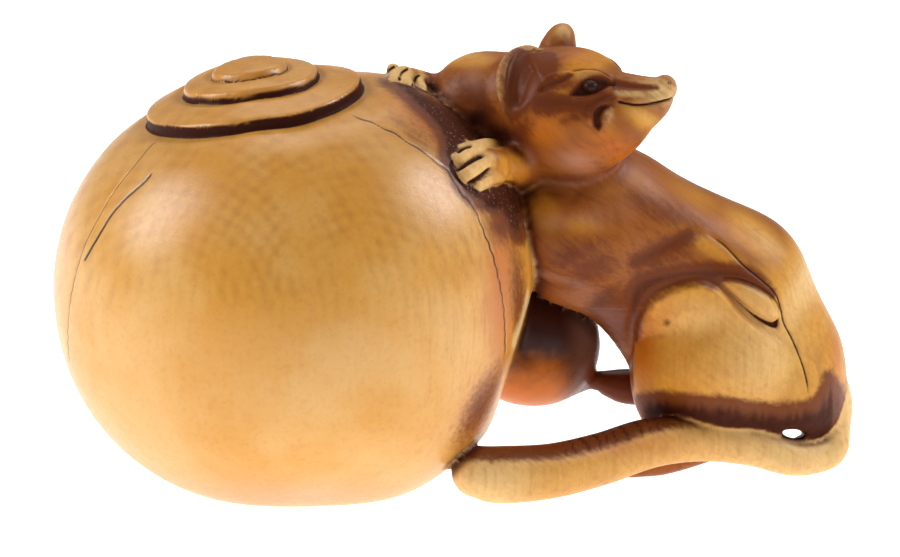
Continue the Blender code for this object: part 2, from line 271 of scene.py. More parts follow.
def head(p):
    d = tube(p, [(22.35, -1.2, 25.5), (21.5, -0.9, 24.8), (20.2, -0.5, 24.25), (18.9, 0.0, 23.65),
        (17.6, 0.4, 23.45), (16.7, 0.9, 23.2)],
             [0.8, 1.35, 2.0, 2.75, 3.45, 3.6])
    d = smoothMin(d, ellipsoid(p, (17.3, 0.9, 24.7), (2.6, 2.4, 2.7)), 0.8)
    return smoothMin(d, ellipsoid(p, (22.45, -1.25, 25.75), (0.62, 0.55, 0.6)), 0.2)


def skullAndNeck(p):
    return smoothMin(head(p), neck(p), 0.8)


earMiddle = onForm(skullAndNeck, 525, 80)
earRim = [onForm(skullAndNeck, *spot) for spot in (
    (512, 119, -0.22), (507, 109, 0.0), (504, 98, 0.12), (503, 87, 0.18), (504, 76, 0.2), (507, 66, 0.16),
    (512, 58, 0.08), (520, 53, 0.04), (530, 51, 0.02), (540, 53, -0.14))]
earRimSizes = (0.2, 0.28, 0.33, 0.36, 0.36, 0.33, 0.3, 0.28, 0.26, 0.2)


def ears(p, d):
    # The near ear is a rolled rim, hollowed behind it later, and the far one a blunt cone
    d = smoothMin(d, tube(p, earRim, earRimSizes, 4), 0.2)
    farEar = tube(p, [(16.0, 3.4, 26.4), (16.3, 3.8, 27.4), (16.55, 3.9, 27.85)], [1.2, 0.85, 0.4], 4)
    return smoothMin(d, farEar, 0.3)


nearToes = [[onForm(bulb, *spot) for spot in toe] for toe in (
    ((462, 152, 0.0), (472, 149, 0.1), (484, 149, 0.2)),
    ((458, 164, 0.1), (466, 158, 0.24), (478, 153, 0.36), (488, 153, 0.35)),
    ((463, 178, 0.12), (475, 171, 0.3), (487, 166, 0.4), (496, 165, 0.4)),
    ((476, 187, 0.0), (486, 182, 0.2), (497, 178, 0.3), (506, 176, 0.3)))]
nearToeSizes = (0.34, 0.54, 0.58, 0.42)
nearPalm = onForm(bulb, 482, 168, 0.1)
farToes = [[onForm(bulb, *spot) for spot in toe] for toe in (
    ((396, 83, 0.0), (394, 76, 0.25), (393, 71, 0.35)), ((407, 86, 0.0), (405, 78, 0.25), (405, 72, 0.4)),
    ((421, 90, 0.0), (418, 82, 0.25), (417, 77, 0.4)))]
farToeSizes = (0.36, 0.38, 0.4)
nearArm = [(18.1, 0.8, 15.7), (15.8, -0.6, 16.4), onForm(bulb, 532, 204, 1.45), onForm(bulb, 516, 182, 1.0),
    onForm(bulb, 500, 171, 0.6), onForm(bulb, 489, 168, 0.35)]
farArm = [(17.2, 7.0, 17.2), (13.9, 7.6, 20.1), (10.9, 6.0, 22.4), onForm(bulb, 420, 80, 0.35),
    onForm(bulb, 402, 73, 0.2)]


def paw(p, toes, sizes):
    d = None
    for line, size in zip(toes, sizes):
        toe = tube(p, line, np.linspace(size * 0.95, size * 1.05, len(line)), 3)
        d = toe if d is None else smoothMin(d, toe, 0.16)
    return d


def forelegs(p):
    def nearForm(q):
        arm = tube(q, nearArm, [3.0, 2.5, 2.05, 1.5, 1.12, 0.9])
        palm = ellipsoid(q, nearPalm, (1.5, 0.75, 1.1), turned(0, 28, 0))
        return smoothMin(smoothMin(arm, palm, 0.6), paw(q, nearToes, nearToeSizes), 0.25)

    def farForm(q):
        arm = tube(q, farArm, [2.4, 1.9, 1.3, 0.62, 0.5])
        return smoothMin(arm, paw(q, farToes, farToeSizes), 0.12)

    return within(p, (7.5, -9, 13), (22, 5, 25), nearForm), within(p, (4.5, -3, 14), (20, 11, 27.5), farForm)


def tail(p):
    return within(p, (9, -7.5, 0), (34.6, 9, 8), lambda q: tube(
        q, [(11.3, -5.4, 3.08), (12.7, -5.0, 2.77), (15.7, -3.5, 2.58), (18.7, -1.4, 2.73), (21.7, 0.6, 3.16),
        (24.7, 2.2, 2.9), (27.7, 3.0, 2.4),
            (30.1, 3.6, 1.4), (31.6, 4.9, 1.1), (32.6, 5.8, 1.4), (32.7, 6.8, 2.6), (32.2, 7.4, 4.0)],
        [1.55, 1.72, 1.64, 1.57, 1.5, 1.3, 1.28, 1.08, 1.05, 1.1, 1.2, 1.8]))


gapMiddle = onForm(tail, 792, 437, 0.3)      # the small opening between tail and thigh


def fox(p):
    d = smoothMin(torso(p), hindLegs(p), 0.5)
    level = p - gapMiddle
    sideways, upward = np.abs(level[:, 0]) / 0.85, np.abs(level @ SIGHT_UP) / 0.3
    d = smoothMax(d, (1 - np.sqrt(sideways ** 2 + upward ** 2)) * 0.3, 0.2)
    d = smoothMin(d, neck(p), 2.8)
    nearLeg, farLeg = forelegs(p)
    d = smoothMin(smoothMin(d, nearLeg, 0.9), farLeg, 0.5)
    d = ears(p, smoothMin(d, head(p), 1.1))
    return smoothMin(d, tail(p), 0.35)


def foxField(p):
    return within(p, (4.5, -9, 0), (34.6, 15, 29), fox)


def carvingField(p):
    d = smoothMin(bulb(p), lobeAndStem(p), 0.7)
    d = smoothMin(d, foxField(p), 0.3)
    return smoothMax(d, -p[:, 2], 0.1)


# Surface: one quad where each grid edge crosses the skin

def skin(field, low, high, step, coarse=4):
    low, high = np.asarray(low, float), np.asarray(high, float)
    blocks = np.ceil((high - low) / (step * coarse)).astype(int)
    size = blocks * coarse + 1
    wide = step * coarse
    mids = [low[k] + wide * (np.arange(blocks[k]) + 0.5) for k in range(3)]
    rough = field(np.stack(np.meshgrid(*mids, indexing="ij"), -1).reshape(-1, 3)).reshape(blocks)

    def spread(values):
        for axis in range(3):
            values = np.repeat(values, coarse, axis)
        return values

    values = np.full(tuple(size), 1.0, np.float32)
    values[:-1, :-1, :-1] = spread(np.where(rough < 0, -1.0, 1.0).astype(np.float32))
    close = spread(np.abs(rough) < wide * 1.2 + 0.15)
    needed = np.zeros(tuple(size), bool)
    corners = np.array([[a, b, c] for a in (0, 1) for b in (0, 1) for c in (0, 1)])
    for a, b, c in corners:
        needed[a:size[0] - 1 + a, b:size[1] - 1 + b, c:size[2] - 1 + c] |= close
    where = np.argwhere(needed)
    exact = np.empty(len(where), np.float32)
    for start in range(0, len(where), 150000):
        exact[start:start + 150000] = field(low + where[start:start + 150000] * step)
    values[needed] = exact
    inside = values < 0
    sides = [slice(0, -1), slice(1, None)]
    count = sum(inside[sides[a], sides[b], sides[c]].astype(np.int8) for a, b, c in corners)
    active = (count > 0) & (count < 8)
    cell = np.argwhere(active)
    index = np.full(active.shape, -1, np.int64)
    index[active] = np.arange(len(cell))
    at = np.stack([values[cell[:, 0] + a, cell[:, 1] + b, cell[:, 2] + c] for a, b, c in corners], 1)
    total, number = np.zeros((len(cell), 3)), np.zeros(len(cell))
    for i in range(8):
        for j in range(i + 1, 8):
            if np.abs(corners[i] - corners[j]).sum() == 1:
                cross = (at[:, i] < 0) != (at[:, j] < 0)
                t = np.where(cross, at[:, i] / np.where(cross, at[:, i] - at[:, j], 1), 0)
                total += np.where(cross[:, None], corners[i] + t[:, None] * (corners[j] - corners[i]), 0)
                number += cross
    points = low + (cell + total / number[:, None]) * step
    quads = []
    for axis in range(3):
        u, w = (axis + 1) % 3, (axis + 2) % 3
        first, second = [slice(None)] * 3, [slice(None)] * 3
        first[axis], second[axis] = slice(0, -1), slice(1, None)
        edge = np.argwhere(inside[tuple(first)] != inside[tuple(second)])
        edge = edge[(edge[:, u] > 0) & (edge[:, w] > 0) & (edge[:, u] < size[u] - 1)
            & (edge[:, w] < size[w] - 1)]
        quad = []
        for du, dw in ((-1, -1), (0, -1), (0, 0), (-1, 0)):
            k = edge.copy()
            k[:, u] += du
            k[:, w] += dw
            quad.append(index[k[:, 0], k[:, 1], k[:, 2]])
        quad = np.stack(quad, 1)
        outward = inside[edge[:, 0], edge[:, 1], edge[:, 2]]
        quad[~outward] = quad[~outward][:, ::-1]
        quads.append(quad)
    return points, np.concatenate(quads)


# Drawn lines and areas, in pixels of the front view

LINES = {
    "mouth": ((676, 99), (665, 102), (652, 105), (636, 107), (623, 105), (612, 102)),
    "curl": ((621, 99), (612, 101), (603, 104), (595, 108), (590, 114), (590, 121), (594, 129)),
    "pocketRidge": ((605, 110), (609, 112), (607, 118), (603, 124)),
    "earFold": ((534, 55), (524, 59), (518, 67), (515, 78), (514, 90), (515, 102), (519, 112)),
    "lensTop": ((716, 280), (728, 278), (742, 280), (757, 286), (769, 294), (778, 305), (779, 316)),
    "brow": ((568, 74), (577, 72), (588, 72), (598, 73), (606, 77), (613, 80)),
    "browRidge": ((574, 80), (582, 75), (592, 74), (602, 77), (612, 82)),
    "lidLow": ((570, 101), (583, 100), (594, 96), (604, 92), (614, 87)),
    "templeTop": ((541, 83), (551, 78), (562, 76), (571, 76)),
    "muzzleTop": ((612, 93), (626, 93), (640, 94), (654, 94)),
    "lip": ((672, 96), (655, 99), (638, 101), (624, 100)),
    "nostril": ((664, 85), (667, 84), (669, 87)),
    "hip": ((700, 232), (712, 237), (725, 246), (743, 265), (759, 278), (775, 293), (781, 309), (784, 323),
    (793, 340), (803, 365), (808, 385), (809, 404)),
    "plateEdge": ((634, 350), (635, 325), (642, 306), (652, 296), (662, 290), (678, 284), (697, 281),
    (712, 285), (725, 295), (737, 309), (753, 323), (768, 334), (784, 343)),
    "ribLow": ((618, 270), (640, 260), (665, 247), (690, 235), (706, 228)),
    "crackRight": ((344, 113), (356, 118), (369, 123), (397, 137), (425, 155), (447, 172), (464, 196),
    (478, 218), (489, 246), (497, 276), (503, 304), (505, 332), (505, 364)),
    "crackRing": ((300, 91), (314, 99), (328, 107)),
    "crackLeft": ((166, 134), (142, 163), (122, 188), (104, 217), (88, 250), (78, 283), (73, 315), (72, 345),
    (74, 372)),
    "crackWide": ((158, 173), (150, 183), (134, 197), (118, 214), (106, 233), (96, 250), (88, 264)),
    "toeNone": ((455, 155), (459, 152), (466, 148), (474, 147)),
    "toeOne": ((451, 174), (459, 170), (467, 165), (477, 159), (487, 156)),
    "toeTwo": ((464, 188), (473, 183), (482, 177), (489, 171), (494, 168)),
    "pawEdge": ((453, 160), (451, 168), (455, 176), (461, 184), (468, 190), (478, 192), (490, 191)),
    "farToeOne": ((396, 67), (391, 70), (389, 75), (389, 80)),
    "farToeTwo": ((409, 69), (403, 73), (400, 78), (400, 83)),
    "farToeThree": ((420, 75), (416, 79), (414, 84), (413, 88)),
}
AREAS = {
    "eye": ((567, 98), (572, 91), (579, 84), (588, 80), (598, 79), (607, 81), (615, 84), (607, 88), (598, 93),
    (588, 97), (577, 98)),
    "temple": ((536, 93), (541, 86), (551, 82), (562, 79), (571, 77), (565, 83), (556, 88), (547, 93),
    (540, 96)),
    "pocket": ((591, 113), (596, 108), (604, 106), (607, 108), (602, 113), (599, 119), (600, 127), (597, 132),
    (592, 128), (590, 120)),
    "wedge": ((611, 80), (622, 83), (634, 86), (647, 88), (656, 90), (646, 92), (630, 92), (616, 91),
    (609, 87)),
    # The facet's pale strip, a painted highlight
    "facetHighlight": ((527, 286), (530, 304), (525, 328), (517, 348), (511, 346), (512, 334), (517, 320),
    (522, 304)),
    "underEye": ((530, 99), (546, 98), (560, 101), (575, 104), (590, 101), (600, 97), (608, 101), (598, 107),
    (588, 116), (578, 110), (562, 109), (548, 112), (534, 108)),
    "earHollow": ((516, 57), (530, 50), (545, 52), (553, 62), (551, 78), (541, 86), (534, 96), (524, 110),
    (512, 120), (507, 108), (507, 94), (507, 80), (510, 67)),
    "whisker": ((614, 90), (628, 92), (642, 93), (656, 93), (654, 97), (640, 99), (624, 98), (613, 95)),
    "plate": ((634, 440), (633, 380), (634, 350), (635, 325), (642, 306), (652, 296), (662, 290), (678, 284),
    (697, 281), (712, 285), (725, 295), (737, 309), (753, 323), (768, 334), (784, 343), (806, 352),
    (818, 372), (820, 400), (812, 440)),
    "lens": ((718, 281), (728, 279), (741, 282), (755, 287), (768, 295), (776, 305), (778, 315), (773, 321),
    (763, 318), (751, 311), (739, 301), (728, 291)),
    "lensUnder": ((720, 285), (732, 297), (746, 311), (760, 322), (777, 329), (779, 318), (773, 322),
    (763, 319), (751, 312), (739, 302), (728, 292)),
    "band": ((637, 335), (630, 318), (627, 296), (634, 282), (652, 274), (672, 270), (695, 268), (718, 267),
    (738, 269), (752, 275), (764, 284), (770, 293), (757, 286), (741, 280), (728, 278), (718, 281),
    (712, 283), (697, 279), (678, 281), (660, 288), (648, 296), (640, 310)),
    "thigh": ((636, 400), (660, 395), (690, 398), (720, 400), (750, 405), (780, 408), (812, 404), (824, 390),
    (829, 376), (836, 384), (843, 396), (846, 420), (840, 448), (815, 462), (780, 456), (740, 444),
    (700, 438), (660, 436), (636, 440)),
    "stipple": ((383, 81), (401, 93), (415, 107), (427, 119), (437, 130), (442, 142), (443, 156), (450, 170),
    (458, 186), (470, 200), (500, 215), (520, 240), (520, 150), (494, 142), (480, 133), (466, 120),
    (455, 106), (441, 92), (428, 84), (405, 82)),
}


def seen(spots):
    spots = np.asarray(spots, float)
    return np.stack([spots[:, 0] - ORIGIN[0], ORIGIN[1] - spots[:, 1]], 1) * MM


def smoothLine(points, steps=5):
    points = np.asarray(points, float)
    ends = np.vstack([2 * points[0] - points[1], points, 2 * points[-1] - points[-2]])
    out = []
    for i in range(1, len(points)):
        for t in np.arange(steps) / steps:
            out.append(curveShares(t) @ ends[i - 1:i + 3])
    out.append(points[-1])
    return np.array(out)


CURVES = {name: smoothLine(seen(points)) for name, points in LINES.items()}
OUTLINES = {name: smoothLine(seen(points + points[:1]), 3) for name, points in AREAS.items()}


def nearLine(flat, name):
    # Distance to the drawn line, and how far along it, from 0 to 1
    line = CURVES[name]
    low, high = line.min(0) - 2.0, line.max(0) + 2.0
    d, along = np.full(len(flat), 9.0), np.zeros(len(flat))
    near = ((flat > low) & (flat < high)).all(1)
    if near.any():
        q = flat[near]
        best, where = np.full(len(q), 9.0), np.zeros(len(q))
        lengths = np.concatenate([[0], np.cumsum(np.linalg.norm(np.diff(line, axis=0), axis=1))])
        for i, (a, b) in enumerate(zip(line[:-1], line[1:])):
            dist, t = fromSegment(q, a, b)
            closer = dist < best
            best[closer] = dist[closer]
            where[closer] = ((lengths[i] + t * (lengths[i + 1] - lengths[i])) / lengths[-1])[closer]
        d[near], along[near] = best, where
    return d, along


def edgeDistance(flat, name):
    # Distance to the area's edge, negative inside, and 9 far from it
    line = OUTLINES[name]
    low, high = line.min(0) - 1.5, line.max(0) + 1.5
    d = np.full(len(flat), 9.0)
    near = ((flat > low) & (flat < high)).all(1)
    if near.any():
        q = flat[near]
        best, inside = np.full(len(q), 9.0), np.zeros(len(q), bool)
        for a, b in zip(line[:-1], line[1:]):
            best = np.minimum(best, fromSegment(q, a, b)[0])
            if a[1] != b[1]:
                inside ^= ((q[:, 1] < a[1]) != (q[:, 1] < b[1])) & (q[:, 0] < a[0]
                    + (q[:, 1] - a[1]) * (b[0] - a[0]) / (b[1] - a[1]))
        d[near] = np.where(inside, -best, best)
    return d


def area(flat, name, inner, outer):
    # 1 inside the area, fading over the given distances from its edge
    return 1 - ramp(edgeDistance(flat, name), -inner, outer)


def patch(flat, px, py, rx, ry, turn=0.0):
    # A soft spot, its radii in pixels: for stain, for painted sheen, highlights and glow, and for raised or sunk
    # places
    q = flat - seen([(px, py)])[0]
    t = math.radians(turn)
    u, w = q @ [math.cos(t), math.sin(t)], q @ [-math.sin(t), math.cos(t)]
    k = MM
    return np.exp(-(u / (rx * k)) ** 2 - (w / (ry * k)) ** 2)


def stroke(flat, name, width, taper=0.12):
    # 1 on the line, falling off over its width, and fading at its ends
    d, along = nearLine(flat, name)
    fade = np.minimum(ramp(along, -0.001, taper), ramp(1 - along, -0.001, taper)) if taper else 1.0
    return np.exp(-(d / width) ** 2) * fade


def seenFlat(p):
    return np.stack([p[:, 0], p @ SIGHT_UP], 1)


def otherSide(p):
    # The point's mirror image across the body's middle plane
    out = p.copy()
    out[:, 1] = 2 * bodyMiddle - out[:, 1]
    return out


print("fields ready")
points, quads = skin(carvingField, (-14.8, -15.2, -0.7), (34.9, 15.2, 29.0), CARVING["grain"])
print("plain surface", len(points), "points", len(quads), "quads")


# Finer grain where there is carving: each pass halves the edges that lie in the chosen places

def detailLevel(p):
    flat = seenFlat(p)
    level = np.zeros(len(p))

    def raiseTo(wanted, chosen):
        np.maximum(level, np.where(chosen, wanted, 0), out=level)

    across, along = ringRadius(p)
    for radius, step, width, depth in CARVING["rings"]:
        raiseTo(1.0, (np.abs(across - radius - 0.1) < width + 0.4) & (along > 6))
        raiseTo(2.0, (np.abs(across - radius - 0.15) < 0.45) & (along > 6))
    raiseTo(1.0, (bulb(p) > 0.1) & (p[:, 1] < 6.0) & (p[:, 0] > 4))
    h = p - headCentre
    face = (h @ headForward > -3.2) & (np.linalg.norm(h, axis=1) < 7.5) & (head(p) < 0.9)
    raiseTo(1.0, face)
    raiseTo(2.0, face & (h @ headRight > 0.4) & (h @ headForward > -2.4) & (flat[:, 1] > 21.5))
    raiseTo(2.0, (np.linalg.norm(p - earMiddle, axis=1) < 2.7) & (p[:, 1] < 1.5))
    raiseTo(2.0, paw(p, nearToes, nearToeSizes) < 0.45)
    raiseTo(2.0, paw(p, farToes, farToeSizes) < 0.4)
    front = p[:, 1] < 6.0
    for name in ("plateEdge", "hip", "crackRight", "crackLeft", "crackWide", "crackRing"):
        d = nearLine(flat, name)[0]
        raiseTo(1.0, (d < 0.7) & front)
        raiseTo(2.0, (d < 0.35) & front)
    for name in ("lens", "lensUnder"):
        raiseTo(2.0, (edgeDistance(flat, name) < 0.4) & front)
    for name in ("plateEdge", "hip"):
        raiseTo(1.0, (nearLine(seenFlat(otherSide(p)), name)[0] < 0.6) & ~front)
    return level


mesh = bpy.data.meshes.new("fox_on_gourd_carving")
mesh.from_pydata(points.tolist(), [], quads.tolist())
bm = bmesh.new()
bm.from_mesh(mesh)
for want in (1.0, 2.0):
    bm.verts.ensure_lookup_table()
    where = np.array([v.co for v in bm.verts])
    chosen = detailLevel(where) >= want
    edges = [e for e in bm.edges if chosen[e.verts[0].index] and chosen[e.verts[1].index]]
    bmesh.ops.subdivide_edges(bm, edges=edges, cuts=1, use_grid_fill=True)
    bm.verts.index_update()
bmesh.ops.triangulate(bm, faces=[f for f in bm.faces if len(f.verts) > 4])
bm.to_mesh(mesh)
bm.free()
print("with detail", len(mesh.vertices), "points", len(mesh.polygons), "faces")


def fetched(items, name):
    out = np.empty(len(items) * 3, np.float32)
    items.foreach_get(name, out)
    return out.reshape(-1, 3).astype(float)


def placed(name, data):
    item = bpy.data.objects.new(name, data)
    bpy.context.scene.collection.objects.link(item)
    return item


def setCoordinates(mesh, values):
    mesh.vertices.foreach_set("co", values.astype(np.float32).ravel())
    mesh.update()


def fieldAt(p):
    out = np.empty(len(p))
    for start in range(0, len(p), 100000):
        out[start:start + 100000] = carvingField(p[start:start + 100000])
    return out


where = fetched(mesh.vertices, "co")
for turn in range(3):
    setCoordinates(mesh, where)
    facing = fetched(mesh.vertex_normals, "vector")
    where = where - facing * np.clip(fieldAt(where), -0.3, 0.3)[:, None] * 0.9
setCoordinates(mesh, where)
facing = fetched(mesh.vertex_normals, "vector")
print("laid on the form")

# Carved forms and the stain in them

plain = where.copy()
flat = seenFlat(plain)
q = plain - gourdCentre
across, along = ringRadius(plain)
onGourd = bulb(plain)
onFox = foxField(plain)
lobeDistance = lobeAndStem(plain)
isFox = ramp(np.minimum(onGourd, lobeDistance) - onFox, -0.15, 0.15)
isLobe = ramp(onGourd - lobeDistance, -0.9, 0.1) * (1 - isFox)
isGourd = (1 - isFox) * (1 - isLobe)
toViewer = ramp(-(facing @ SIGHT), 0.0, 0.3)
toPaw = paw(plain, nearToes, nearToeSizes)
nearPaw = ramp(0.35 - toPaw, 0, 0.3)
farPaw = ramp(0.35 - paw(plain, farToes, farToeSizes), 0, 0.3)
onTail = ramp(0.3 - tail(plain), 0, 0.25)

push, ink, brown, crack = (np.zeros(len(plain)) for _ in range(4))


# Keeps the larger of the layer and the values; it lays in stain and also painted highlights, sheen and glow
def stainAndLight(layer, values):
    np.maximum(layer, values, out=layer)


angle = np.arctan2(q[:, 1], q[:, 0] + 2.3)
wobble = 0.03 * np.sin(angle * 5 + 1) + 0.012 * np.sin(angle * 13 + 2)
top = ramp(along, 6.0, 7.5) * isGourd
for radius, step, width, depth in CARVING["rings"]:
    off = across - radius
    push += top * (step * (1 - ramp(off, -0.3, 0.1))
        - depth * np.exp(-(np.minimum(off - 0.12, 0) / 0.14) ** 2 - (np.maximum(off - 0.12, 0) / width) ** 2))
    inkFrom = 0.1 - width * 0.7
    stainAndLight(ink, 0.8 * top * ramp(off + wobble, inkFrom,
        inkFrom + 0.14) * (1 - ramp(off + wobble, width * 0.25, width * 0.6)))

headPoint = plain - headCentre
headAlong, headSide = headPoint @ headForward, headPoint @ headRight
mirroredHead = plain - 2 * headSide[:, None] * headRight
onEar = ramp(2.9 - np.linalg.norm((plain - earMiddle) * [1.0, 0.8, 1.0], axis=1), 0.0,
    0.5) * (plain[:, 1] < 2.2)
isHead = np.maximum(ramp(0.9 - head(plain), 0.0, 0.5) * ramp(headAlong, -4.2, -3.2), onEar) * isFox
flatHead = np.where((headSide > 0)[:, None], flat, seenFlat(mirroredHead))
sideOn = ramp(np.abs(facing @ headRight), 0.05, 0.3) * isHead

for name, width, height in (("curl", 0.15, 0.16), ("pocketRidge", 0.1, 0.12), ("browRidge", 0.18, 0.12),
        ("lidLow", 0.14, 0.14), ("lip", 0.25, 0.08), ("templeTop", 0.12, 0.1), ("muzzleTop", 0.14, 0.08)):
    push += height * stroke(flatHead, name, width) * sideOn
offMiddle = sideOn * ramp(np.abs(headSide), 0.3, 0.8)
for name, width, depth, amount in (("mouth", 0.085, 0.16, 1.0), ("brow", 0.08, 0.08, 0.6),
        ("nostril", 0.07, 0.1, 0.9), ("earFold", 0.2, 0.1, 0.3)):
    mark = stroke(flatHead, name, width) * (sideOn if name != "brow" else offMiddle)
    push -= depth * mark
    stainAndLight(ink, amount * mark)
for name, inner, outer, depth, amount in (("eye", 0.25, 0.05, 0.2, 0.6), ("temple", 0.2, 0.05, 0.16, 0.3),
        ("pocket", 0.2, 0.06, 0.22, 0.6), ("wedge", 0.25, 0.1, 0.12, 0.25)):
    push -= depth * area(flatHead, name, inner, outer) * sideOn
    stainAndLight(ink, amount * area(flatHead, name, inner * 0.5, outer + 0.03) * sideOn)
    stainAndLight(brown, area(flatHead, name, 0.1, 0.3) * sideOn)
foldDepth = 0.45 * stroke(flatHead, "earFold", 1.8, 0.2) * area(flatHead, "earHollow", 1.5, 0.1)
push -= (0.1 * stroke(flatHead, "earFold", 0.6, 0.2) + foldDepth) * isHead
for spot, depth in (((594, 90, 26, 10, 14), -0.22), ((600, 104, 16, 8, 0), -0.15),
        ((560, 135, 24, 20, 0), 0.12), ((612, 128, 10, 22, -50), -0.08)):
    push += depth * patch(flatHead, *spot) * sideOn
stainAndLight(ink, 0.35 * area(flatHead, "underEye", 0.3, 0.35) * sideOn)
stainAndLight(brown, area(flatHead, "underEye", 0.1, 0.9) * sideOn)
stainAndLight(ink, 0.36 * stroke(flatHead, "earFold", 0.9, 0.1) * isHead)
stainAndLight(brown, stroke(flatHead, "earFold", 1.1, 0.1) * isHead)
stainAndLight(ink, 0.2 * area(flatHead, "earHollow", 0.8, 0.3) * sideOn)
stainAndLight(brown, area(flatHead, "earHollow", 0.1, 0.7) * sideOn)

isBody = isFox * (1 - isHead) * (1 - onTail) * (1 - nearPaw) * (1 - farPaw)
isFar = ramp(plain[:, 1], bodyMiddle - 0.5, bodyMiddle + 0.5)
nearBody = isBody * toViewer * (1 - isFar)
farBody = isBody * ramp(facing[:, 1], 0.05, 0.35) * ramp(plain[:, 0], 17, 19) * isFar
mirrorFlat = seenFlat(otherSide(plain))
for place, mask, share in ((flat, nearBody, 1.0), (mirrorFlat, farBody, 0.8)):
    d = edgeDistance(place, "plate")
    topEdge = ramp(place[:, 1], 5.0, 8.0) * (1 - ramp(place[:, 0], 28.0, 30.5))
    push += CARVING["plateHeight"] * share * (1 - ramp(d, -0.4, 0.08)) * topEdge * mask
    push -= 0.16 * share * np.exp(-((d - 0.25) / 0.3) ** 2) * topEdge * mask
    lens = area(place, "lens", 0.5, 0.02)
    push += 0.3 * share * lens * (0.4 + 0.6 * ramp(place[:, 0], 25.8, 28.6)) * mask
    push -= 0.2 * share * area(place, "lensUnder", 0.15, 0.1) * mask
    push -= 0.09 * stroke(place, "hip", 0.09) * mask * share
    push -= 0.1 * share * stroke(place, "ribLow", 0.5) * mask
    stainAndLight(ink, 0.9 * share * area(place, "lensUnder", 0.1, 0.06) * mask)
    stainAndLight(ink, 0.8 * share * stroke(place, "hip", 0.07) * mask)
    stainAndLight(ink, 0.5 * share * area(place, "band", 0.45, 0.2) * mask * (1 - lens))
    stainAndLight(ink, 0.65 * share * stroke(place, "lensTop", 0.1) * mask)
    stainAndLight(brown, area(place, "band", 0.1, 0.8) * mask * (1 - lens))
    stainAndLight(ink, 0.36 * share * stroke(place, "ribLow", 0.4, 0.2) * mask)
    stainAndLight(brown, stroke(place, "ribLow", 0.72, 0.2) * mask)
    drip = 0.12 * np.sin(place[:, 0] * 9.0 + np.sin(place[:, 0] * 3.1) * 2.0)
    stainAndLight(ink, 0.68 * share * (1 - ramp(edgeDistance(place, "thigh") + drip, -1.0, 0.3)) * mask)
    stainAndLight(brown, area(place, "thigh", 0.1, 0.8) * mask)

shift = 0.05 * np.sin(plain[:, 0] * 4.3 + 1.7) + 0.03 * np.sin(plain[:, 2] * 7.7)
wavy = flat + shift[:, None] * np.array([0.6, 0.8])
for name, width, depth, amount in (("crackRight", 0.048, 0.05, 0.9), ("crackRing", 0.04, 0.02, 0.4),
        ("crackLeft", 0.045, 0.04, 0.6), ("crackWide", 0.075, 0.03, 0.9)):
    mark = stroke(wavy, name, width, 0.06) * ramp(-plain[:, 1], 0, 2) * isGourd
    push -= depth * mark
    stainAndLight(crack, amount * mark)
gourdSide = isGourd * toViewer
stainAndLight(ink, 0.62 * area(flat, "stipple", 0.35, 0.2) * gourdSide)
stainAndLight(brown, area(flat, "stipple", 0.1, 0.9) * gourdSide)

hatch = ramp(np.sin(plain[:, 0] * 8.0 + plain[:, 1] * 3.0 + np.sin(plain[:, 0] * 2.3) * 1.5), 0.1, 0.8)
upperEdge = onTail * ramp(facing[:, 2], 0.45, 0.85)
stainAndLight(ink, 0.55 * upperEdge * hatch * ramp(plain[:, 0], 15, 17) * (1 - ramp(plain[:, 0], 21.5, 24)))
stainAndLight(brown, 0.9 * upperEdge * (1 - ramp(plain[:, 0], 22, 26)))
stainAndLight(brown, 0.45 * ramp(0.7 - tail(plain), 0, 0.6) * isGourd)

for name in ("toeNone", "toeOne", "toeTwo"):
    mark = stroke(flat, name, 0.12, 0.2) * nearPaw
    push -= 0.16 * mark
    stainAndLight(ink, 0.9 * mark)
stainAndLight(ink, stroke(flat, "pawEdge", 0.16, 0.05) * ramp(0.9 - toPaw, 0, 0.2) * (1 - ramp(0.1 - toPaw, 0, 0.1)))
for name in ("farToeOne", "farToeTwo", "farToeThree"):
    stainAndLight(ink, stroke(flat, name, 0.11, 0.05) * farPaw * toViewer)

where = plain + facing * push[:, None]
where[:, 2] = np.maximum(where[:, 2], 0.0)
setCoordinates(mesh, where)
print("forms carved")

# Hollows gather stain, and the same darkening paints in the shade that falls there: how much closer the form is than
# open air would leave it
hollowStainAndShade = np.zeros(len(plain))
for reach, weight in ((0.5, 0.45), (1.3, 0.35), (3.0, 0.2)):
    hollowStainAndShade += weight * np.clip(1 - fieldAt(plain + facing * reach) / reach, 0, 1)


def dab(layer, place, mask, spots):
    # Soft spots of colour: pixel across and down, radii in pixels, turn, strength
    for px, py, rx, ry, turn, amount in spots:
        stainAndLight(layer, amount * patch(place, px, py, rx, ry, turn) * mask)


gold, pale, amber, paintedSheen = (np.zeros(len(plain)) for _ in range(4))
bodyFlat = np.where((plain[:, 1] < bodyMiddle)[:, None], flat, mirrorFlat)
plate = area(bodyFlat, "plate", 0.1, 0.1) * isBody

